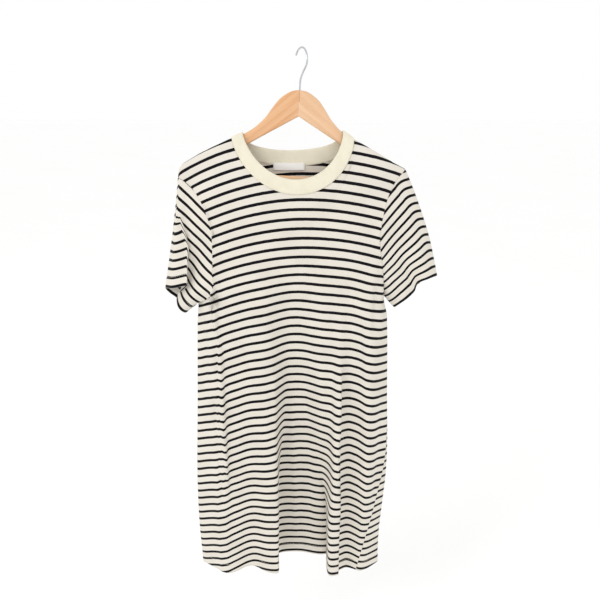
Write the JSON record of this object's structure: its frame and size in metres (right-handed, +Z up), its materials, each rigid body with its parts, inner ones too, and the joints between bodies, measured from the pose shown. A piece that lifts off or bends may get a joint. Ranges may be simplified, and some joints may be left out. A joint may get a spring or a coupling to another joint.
{
  "type": "striped t-shirt dress on a wooden hanger",
  "caption": "Short-sleeved t-shirt dress in striped jersey with a plain ribbed crew neckband, hanging in soft folds on a wooden hanger with a wire hook and trouser bar.",
  "frame": {"origin": "inside top of the hanger's hook, where a rail carries it", "axes": "+Z up, +X to the viewer's right as the dress is seen from the front, the front of the dress faces -Y"},
  "size_m": [0.5139, 0.1025, 1.0709],
  "materials": {
    "jersey": "matt single jersey, cream with narrow near-black stripes about a quarter of their spacing",
    "rib_knit": "matt ribbed knit, plain ivory",
    "label_cloth": "smooth white woven tape, blank",
    "hanger_wood": "light wood, clear satin lacquer",
    "hook_wire": "bright round wire"
  },
  "bodies": {
    "root": {"front": "jersey", "back": "jersey", "sleeve_left": "jersey", "sleeve_right": "jersey", "neckband": "rib_knit", "neck_label": "label_cloth", "hanger_arm_left": "hanger_wood", "hanger_arm_right": "hanger_wood", "hanger_bar": "hanger_wood", "hanger_hook": "hook_wire"}
  },
  "joints": []
}
